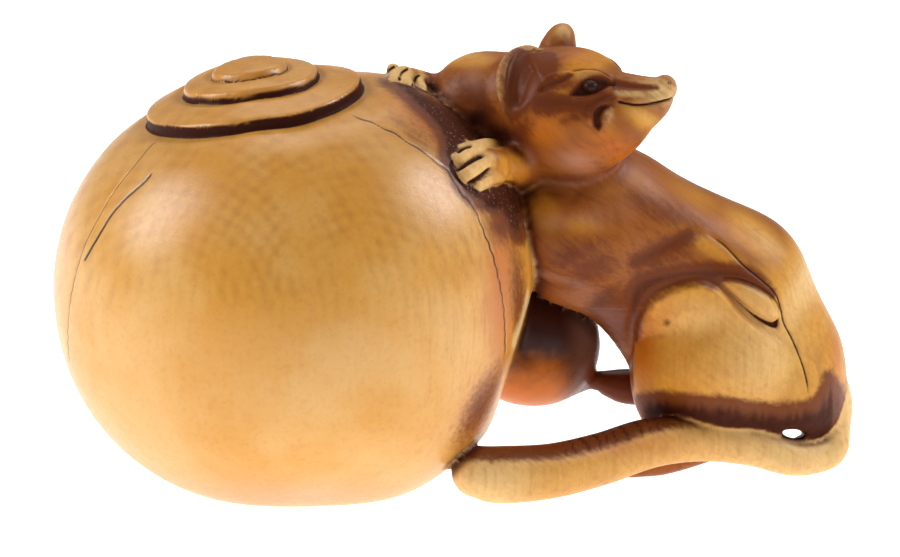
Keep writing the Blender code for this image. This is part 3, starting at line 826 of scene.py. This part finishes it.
dab(brown, flatHead, isHead, ((546, 66, 20, 20, 0, 0.7), (556, 88, 28, 12, 15, 0.65),
    (516, 138, 14, 26, -30, 0.95), (570, 180, 34, 5, 0, 0.8), (606, 172, 20, 5, -30, 0.6),
    (572, 118, 20, 9, 25, 0.7), (596, 126, 12, 12, 0, 0.6), (622, 103, 14, 4, 0, 0.6),
    (545, 40, 12, 8, 20, 0.8)))
dab(brown, bodyFlat, isBody, ((478, 100, 34, 22, -30, 0.9), (480, 125, 30, 22, -45, 1.0),
    (512, 144, 10, 30, 55, 1.0), (546, 168, 7, 16, 25, 0.7), (572, 186, 42, 6, 0, 0.7),
    (500, 202, 20, 6, -20, 0.9), (572, 256, 40, 18, 25, 0.8), (525, 240, 5, 44, 0, 0.9),
    (612, 320, 30, 40, 0, 1.0), (590, 270, 36, 20, 20, 0.9), (640, 290, 14, 34, 0, 0.8),
    (614, 218, 24, 10, -20, 0.35), (660, 210, 50, 16, -24, 0.7), (634, 350, 6, 60, 0, 0.6),
    (655, 258, 44, 22, 20, 0.7), (690, 174, 36, 9, -35, 0.55), (832, 400, 8, 30, 0, 0.8)))
dab(brown, flat, gourdSide, ((500, 225, 16, 26, 20, 0.9), (518, 300, 10, 60, 3, 0.85),
    (480, 405, 16, 56, -28, 0.8), (480, 205, 18, 10, -30, 0.95), (514, 262, 8, 56, 4, 0.6),
    (420, 140, 14, 50, 50, 0.5)))
dab(ink, bodyFlat, isBody, ((508, 141, 7, 24, 55, 0.3), (474, 122, 12, 24, -48, 0.7),
    (492, 207, 20, 6, -20, 0.5), (525, 246, 3, 34, 0, 0.5), (600, 300, 30, 12, 40, 0.45),
    (667, 318, 5, 5, 0, 0.6), (664, 336, 4, 6, 0, 0.35)))
dab(ink, flat, gourdSide, ((494, 204, 16, 10, 0, 0.8), (512, 225, 8, 18, 20, 0.6)))
dab(gold, flatHead, isHead, ((588, 64, 30, 14, 18, 0.9), (640, 120, 26, 12, -30, 0.75),
    (548, 130, 24, 18, 0, 0.45), (600, 132, 22, 14, -20, 0.5), (558, 94, 14, 6, 10, 0.5),
    (505, 92, 6, 34, 0, 0.6)))
dab(gold, bodyFlat, isBody, ((460, 60, 42, 10, -6, 0.8), (508, 170, 28, 17, 20, 1.0),
    (539, 208, 16, 24, 35, 1.0), (578, 226, 30, 12, -10, 0.45), (604, 188, 30, 10, -10, 0.35),
    (700, 200, 50, 14, -30, 0.5), (755, 236, 44, 18, -38, 1.0), (796, 286, 44, 70, -32, 1.0),
    (838, 360, 22, 70, -8, 1.0), (816, 322, 30, 44, -10, 1.0), (715, 250, 50, 12, -30, 0.7),
    (640, 182, 30, 12, -30, 0.3), (795, 350, 30, 50, 0, 1.0)))
stainAndLight(gold, np.maximum.reduce([plate, onTail, nearPaw, farPaw,
    0.7 * area(bodyFlat, "lens", 0.2, 0.02) * isBody,
    0.35 * isFox * ramp(plain[:, 1], 2.4, 3.2) * patch(flat, 560, 34, 18, 14, 0)]))
dab(pale, flatHead, isHead, ((658, 93, 22, 13, 0, 1.0), (640, 116, 24, 6, -30, 0.25),
    (606, 116, 5, 8, 0, 0.5), (584, 78, 12, 3, 10, 0.35)))
# Pale spots on the body; the streak along the neck's top at (450, 50) is a painted highlight
dab(pale, bodyFlat, isBody, ((762, 352, 46, 52, 0, 0.7), (705, 318, 46, 24, 0, 0.45),
    (802, 290, 18, 60, -22, 0.75), (450, 50, 30, 8, -6, 0.6), (765, 240, 34, 8, -38, 0.4)))
dab(pale, flat, isFox * ramp(plain[:, 1], 2.5, 3.2), ((562, 33, 6, 9, -20, 0.9),))
stainAndLight(pale, np.maximum.reduce([
    0.65 * area(flatHead, "whisker", 0.1, 0.2) * sideOn,
    0.75 * nearPaw * ramp(13.0 - plain[:, 0], 0, 1.5),
    0.75 * farPaw,
    0.5 * ramp(0.2 - tube(plain, earRim, earRimSizes, 2), 0, 0.2) * isFox,
    (0.3 + 0.55 * ramp(plain[:, 0], 22, 30) + 0.65 * (1 - ramp(plain[:, 0], 12, 16))) * onTail,
    0.5 * (0.35 + 0.65 * ramp(bodyFlat[:, 0], 25.8, 28.6)) * area(bodyFlat, "lens", 0.2, 0.02) * isBody,
    # the pale strip on the gourd's facet, a painted highlight
    area(flat, "facetHighlight", 0.1, 0.05) * ramp(-plain[:, 1], -2, 0) * isGourd,
]))
dab(amber, flatHead, isHead, ((545, 130, 24, 20, 0, 0.9), (612, 148, 34, 13, -35, 1.0),
    (588, 150, 20, 12, 0, 0.5), (584, 60, 26, 12, 20, 0.5), (514, 116, 8, 18, 0, 0.7),
    (503, 96, 6, 24, 0, 0.9)))
dab(amber, bodyFlat, isBody, ((518, 172, 20, 14, 0, 0.6), (545, 215, 14, 14, 0, 0.5),
    (648, 345, 12, 44, 0, 1.0), (665, 310, 16, 12, 0, 0.5), (838, 360, 6, 50, 0, 0.7),
    (740, 232, 60, 14, -28, 0.35)))
# Gourd colour spots; the wide band along the bottom at (290, 502) is a painted glow of the lit table showing through
dab(amber, flat, gourdSide, ((500, 290, 15, 100, 0, 1.0), (425, 122, 16, 44, 50, 0.8),
    (484, 400, 20, 60, -28, 0.8), (290, 502, 140, 22, 0, 0.6)))
dab(amber, flat, onTail, ((620, 446, 70, 12, 0, 0.7),))
# Pinkish-grey painted sheen on the jaw, shoulder, neck and chest: painted highlights
dab(paintedSheen, flatHead, isHead, ((574, 163, 20, 10, -15, 0.7),))
dab(paintedSheen, bodyFlat, isBody, ((636, 172, 20, 10, -30, 0.45), (474, 80, 10, 14, 10, 0.4),
    (552, 222, 16, 8, 0, 0.35)))


def attribute(name, values):
    layer = mesh.attributes.new(name, "FLOAT", "POINT")
    layer.data.foreach_set("value", np.clip(values, 0, 1).astype(np.float32))


stipple = area(flat, "stipple", 0.35, 0.2) * gourdSide
for name, values in (("stipple", stipple), ("ink", ink), ("brown", brown), ("crack", crack),
        ("hollowStainAndShade", hollowStainAndShade), ("fox", isFox), ("lobe", isLobe), ("gold", gold), ("pale", pale),
        ("amber", amber), ("paintedSheen", paintedSheen)):
    attribute(name, values)

setCoordinates(mesh, where * METRES)
mesh.polygons.foreach_set("use_smooth", np.ones(len(mesh.polygons), bool))
mesh.update()
carving = placed("fox_on_gourd_carved", mesh)
print("attributes set")


# Materials

def linear(code):
    parts = [int(code[i:i + 2], 16) / 255 for i in (1, 3, 5)]
    return (*[c / 12.92 if c <= 0.04045 else ((c + 0.055) / 1.055) ** 2.4 for c in parts], 1.0)


def material(name):
    made = bpy.data.materials.new(name)
    made.use_nodes = True
    tree = made.node_tree
    return made, tree, tree.nodes["Principled BSDF"]


def add(tree, kind, settings=None, inputs=None):
    node = tree.nodes.new(kind)
    for key, value in (settings or {}).items():
        setattr(node, key, value)
    for key, value in (inputs or {}).items():
        socket = node.inputs[key]
        if isinstance(value, bpy.types.NodeSocket):
            tree.links.new(value, socket)
        else:
            socket.default_value = value
    return node


def math2(tree, operation, a, b=0.0):
    return add(tree, "ShaderNodeMath", {"operation": operation}, {0: a, 1: b}).outputs[0]


def between(tree, value, low, high):
    return add(tree, "ShaderNodeMapRange", {"interpolation_type": "SMOOTHSTEP"},
        {"Value": value, "From Min": low, "From Max": high}).outputs["Result"]


def mixed(tree, amount, a, b):
    settings = {"data_type": "RGBA", "clamp_factor": True}
    return add(tree, "ShaderNodeMix", settings, {"Factor": amount, 6: a, 7: b}).outputs[2]


def read(tree, name):
    return add(tree, "ShaderNodeAttribute", {"attribute_name": name}).outputs["Fac"]


def ivoryMaterial():
    made, tree, shader = material("stained polished ivory")
    times, plus, minus = (partial(math2, tree, kind) for kind in ("MULTIPLY", "ADD", "SUBTRACT"))
    mix, rise = partial(mixed, tree), partial(between, tree)
    place = add(tree, "ShaderNodeTexCoord").outputs["Object"]
    mm = add(tree, "ShaderNodeVectorMath", {"operation": "SCALE"}, {0: place, "Scale": 1 / METRES}).outputs[0]
    split = add(tree, "ShaderNodeSeparateXYZ", None, {0: mm})
    x, y, z = split.outputs

    def noise(scale, detail=4.0, rough=0.55, vector=mm):
        return add(tree, "ShaderNodeTexNoise", None,
            {"Vector": vector, "Scale": scale, "Detail": detail, "Roughness": rough}).outputs["Fac"]

    up = plus(times(y, float(SIGHT_UP[1])), times(z, float(SIGHT_UP[2])))
    cloud = noise(0.16, 3.0)
    blotch = noise(0.5, 4.0)
    fine = noise(3.0, 5.0)
    grainVector = add(tree, "ShaderNodeVectorMath", {"operation": "MULTIPLY"},
        {0: mm, 1: (3.0, 3.0, 0.25)}).outputs[0]
    streak = noise(1.0, 3.0, 0.6, grainVector)
    turnedPlace = add(tree, "ShaderNodeVectorRotate", {"rotation_type": "Y_AXIS"},
        {"Vector": mm, "Angle": -0.69}).outputs[0]
    fur = noise(1.0, 3.0, 0.65, add(tree, "ShaderNodeVectorMath", {"operation": "MULTIPLY"},
        {0: turnedPlace, 1: (0.3, 3.0, 3.4)}).outputs[0])

    # Schreger arcs: two families of rings that cross
    arcs = []
    for cx, cup in ((-7.0, 10.5), (4.7, 11.6)):
        dx, dz = minus(x, cx), minus(up, cup)
        reach = math2(tree, "SQRT", plus(times(dx, dx), times(dz, dz)))
        wavy = plus(reach, times(blotch, 0.9))
        wave = math2(tree, "SINE", times(wavy, 2 * math.pi / CARVING["schregerSpacing"]))
        shown = times(rise(reach, 2.0, 4.0), rise(dz, -2.0, 2.0))
        arcs.append(times(plus(times(wave, 0.5), 0.5), shown))
    schreger = times(plus(arcs[0], arcs[1]), 0.5)

    names = ("fox", "lobe", "ink", "brown", "crack", "hollowStainAndShade", "gold", "pale", "amber", "paintedSheen", "stipple")
    fox, lobe, ink, brown, crack, hollowStainAndShade, gold, pale, amber, paintedSheen, stipple = (read(tree, n) for n in names)
    c = {k: linear(v) for k, v in IVORY.items() if isinstance(v, str)}
    gourd = mix(times(rise(cloud, 0.35, 0.7), 0.35), c["honey"], c["pale"])
    # Darker towards the top: painted shade, where less light reaches from above
    gourd = mix(times(rise(up, 12.0, 24.0), 0.25), gourd, c["deep"])
    arcsShown = times(schreger, rise(blotch, 0.35, 0.6))
    gourd = mix(times(arcsShown, 0.34), gourd, c["deep"])
    streaky = times(rise(streak, 0.45, 0.75), plus(0.05, times(rise(x, 6.0, 13.0), 0.4)))
    gourd = mix(streaky, gourd, c["deep"])
    gilded = plus(gold, times(minus(fur, 0.5), 0.4))
    furry = mix(rise(gilded, 0.05, 0.85), c["russet"], c["honey"])
    furry = mix(times(rise(blotch, 0.35, 0.65), 0.25), furry, c["deep"])
    base = mix(fox, gourd, furry)
    base = mix(times(amber, 0.85), base, c["amber"])
    base = mix(times(pale, 0.85), base, c["pale"])
    base = mix(times(rise(fine, 0.45, 0.75), 0.16), base, c["deep"])
    calm = times(gold, 0.75)
    hairs = times(rise(fur, 0.4, 0.75), times(fox, minus(0.5, times(calm, 0.5))))
    base = mix(hairs, base, c["brown"])
    base = mix(times(rise(streak, 0.4, 0.75), times(calm, 0.35)), base, c["deep"])
    # The fox browns in its hollows: stain, and painted shade
    base = mix(times(rise(hollowStainAndShade, 0.16, 0.6), times(fox, 0.7)), base, c["brown"])
    mottle = plus(brown, times(minus(fur, 0.5), 0.6))
    mottle = plus(mottle, times(minus(fine, 0.5), 0.5))
    dirtied = times(rise(mottle, 0.1, 0.9), math2(tree, "MINIMUM", times(brown, 3.0), 0.95))
    base = mix(dirtied, base, c["brown"])
    # Pinkish-grey painted sheen, a highlight laid into the colour
    base = mix(times(paintedSheen, 0.8), base, c["paintedSheen"])
    lowLobe = mix(rise(x, 15.6, 17.5), c["lobe"], c["brown"])
    # The lobe's top lightens towards its right in the sheen colour: a painted highlight
    highLobe = mix(times(rise(x, 16.2, 18.2), 0.35), c["dark"], c["paintedSheen"])
    base = mix(lobe, base, mix(rise(plus(z, times(minus(blotch, 0.5), 4.0)), 5.6, 8.6), lowLobe, highLobe))
    # The deepest hollows darken to the ink colour: stain, and painted shade
    gatheredStainAndShade = rise(plus(hollowStainAndShade, times(minus(fine, 0.5), 0.25)), 0.42, 0.85)
    base = mix(times(gatheredStainAndShade, plus(0.45, times(fox, 0.35))), base, c["ink"])
    ragged = times(minus(fine, 0.5), times(ink, minus(1.0, ink)))
    base = mix(rise(plus(ink, ragged), 0.12, 0.8), base, c["ink"])
    base = mix(rise(crack, 0.25, 0.7), base, c["crack"])
    dots = add(tree, "ShaderNodeTexVoronoi", None, {"Vector": mm, "Scale": 3.6}).outputs["Distance"]
    specks = rise(dots, 0.26, 0.1)
    base = mix(times(times(specks, stipple), 0.5), base, c["speck"])
    tree.links.new(base, shader.inputs["Base Color"])
    plainRough = plus(IVORY["gourdRoughness"], times(fox, IVORY["foxRoughness"] - IVORY["gourdRoughness"]))
    rough = plus(times(rise(ink, 0.2, 0.8), 0.2), plus(plainRough, times(minus(fine, 0.4), 0.25)))
    tree.links.new(rough, shader.inputs["Roughness"])
    shine = plus(IVORY["gourdShine"], times(math2(tree, "MAXIMUM", fox, lobe),
        IVORY["foxShine"] - IVORY["gourdShine"]))
    dulled = math2(tree, "MAXIMUM", rise(ink, 0.2, 0.7), times(rise(brown, 0.3, 0.9), 0.5))
    shine = plus(times(shine, minus(1.0, dulled)), times(dulled, IVORY["stainShine"]))
    tree.links.new(shine, shader.inputs["Specular IOR Level"])
    shader.inputs["Subsurface Weight"].default_value = IVORY["glow"]
    shader.inputs["Subsurface Radius"].default_value = IVORY["glowReach"]
    shader.inputs["Subsurface Scale"].default_value = METRES
    shader.inputs["IOR"].default_value = IVORY["refraction"]
    height = plus(times(noise(7.0, 4.0, 0.6), 0.5), times(times(fur, fox), 0.8))
    height = plus(height, times(times(specks, stipple), 1.5))
    bump = add(tree, "ShaderNodeBump", None, {"Strength": 0.35, "Distance": IVORY["relief"] * METRES,
        "Height": height})
    tree.links.new(bump.outputs[0], shader.inputs["Normal"])
    return made


carving.data.materials.append(ivoryMaterial())
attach(carving, "root")
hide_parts("fox_on_gourd")


# Eye beads

def beadMaterial():
    made, tree, shader = material("polished dark horn")
    mm = add(tree, "ShaderNodeVectorMath", {"operation": "SCALE"},
        {0: add(tree, "ShaderNodeTexCoord").outputs["Object"], "Scale": 1 / METRES}).outputs[0]
    cloud = add(tree, "ShaderNodeTexNoise", None, {"Vector": mm, "Scale": 4.0, "Detail": 3.0}).outputs["Fac"]
    tree.links.new(mixed(tree, cloud, linear(BEADS["colour"]), linear(BEADS["dapple"])),
        shader.inputs["Base Color"])
    rough = math2(tree, "ADD", BEADS["roughness"], math2(tree, "MULTIPLY", cloud, 0.1))
    tree.links.new(rough, shader.inputs["Roughness"])
    shader.inputs["Specular IOR Level"].default_value = BEADS["shine"]
    return made


horn = beadMaterial()
for name in ("right_eye", "left_eye"):
    low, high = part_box(name)
    centre = (Vector(low) + Vector(high)) / 2
    eye = bmesh.new()
    bmesh.ops.create_icosphere(eye, subdivisions=4, radius=BEADS["radius"] * METRES)
    bmesh.ops.scale(eye, vec=BEADS["flatness"], verts=eye.verts)
    bmesh.ops.translate(eye, verts=eye.verts, vec=centre + Vector((0, BEADS["setBack"] * METRES, 0)))
    shape = bpy.data.meshes.new(name + "_bead")
    eye.to_mesh(shape)
    eye.free()
    shape.polygons.foreach_set("use_smooth", np.ones(len(shape.polygons), bool))
    shape.materials.append(horn)
    bead = placed(name + "_bead", shape)
    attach(bead, "root")
    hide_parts(name)
print("beads set")


# Floor, light and camera

def plainMaterial(name, colour, roughness):
    made, tree, shader = material(name)
    shader.inputs["Base Color"].default_value = linear(colour)
    shader.inputs["Roughness"].default_value = roughness
    return made


floorMesh = bpy.data.meshes.new("floor")
floorMesh.from_pydata([(-3, -3, 0), (3, -3, 0), (3, 3, 0), (-3, 3, 0)], [], [(0, 1, 2, 3)])
floor = placed("floor", floorMesh)
floor.location.z = -LIGHT["tableDrop"] * METRES
white = plainMaterial("lit white table", LIGHT["tableColour"], 0.6)
glow = white.node_tree.nodes["Principled BSDF"]
glow.inputs["Emission Color"].default_value = (1, 1, 1, 1)
glow.inputs["Emission Strength"].default_value = LIGHT["table"]
floorMesh.materials.append(white)

world = bpy.data.worlds.new("dim room")
bpy.context.scene.world = world
world.use_nodes = True
world.node_tree.nodes["Background"].inputs["Color"].default_value = (1, 1, 1, 1)
world.node_tree.nodes["Background"].inputs["Strength"].default_value = LIGHT["room"]

acrossMiddle = CAMERA["picture"][0] / 2 - ORIGIN[0]
upMiddle = ORIGIN[1] - CAMERA["picture"][1] / 2
target = (Vector((acrossMiddle, 0, 0)) + Vector(SIGHT_UP) * upMiddle) * MM * METRES


def softbox(name, direction, size, power, distance=0.35):
    # direction is as the camera sees it: across, up and towards the viewer
    lamp = bpy.data.lights.new(name, "AREA")
    lamp.shape = "RECTANGLE"
    lamp.size, lamp.size_y = size
    lamp.energy = power
    item = placed(name, lamp)
    away = Vector((direction[0], 0, 0)) + Vector(SIGHT_UP) * direction[1] - Vector(SIGHT) * direction[2]
    item.location = target + away.normalized() * distance
    item.rotation_mode = "QUATERNION"
    item.rotation_quaternion = away.normalized().to_track_quat("Z", "Y")


softbox("left softbox", (-0.825, 0.54, 0.16), (0.16, 0.18), LIGHT["left"])
softbox("right softbox", (0.78, 0.62, 0.05), (0.12, 0.15), LIGHT["right"])
softbox("top softbox", (0.05, 1.0, -0.3), (0.25, 0.25), LIGHT["top"])

lens = bpy.data.cameras.new("camera")
lens.lens = CAMERA["lens"]
lens.sensor_width = CAMERA["sensor"]
camera = placed("camera", lens)
camera.rotation_mode = "QUATERNION"
reach = CAMERA["lens"] / CAMERA["sensor"] * CAMERA["picture"][0] * MM * METRES
camera.location = target - Vector(SIGHT) * reach
camera.rotation_quaternion = (-Vector(SIGHT)).to_track_quat("Z", "Y")
lens.clip_start, lens.clip_end = 0.05, 20.0
bpy.context.scene.camera = camera
bpy.context.scene.view_settings.view_transform = "Standard"

print("scene ready")
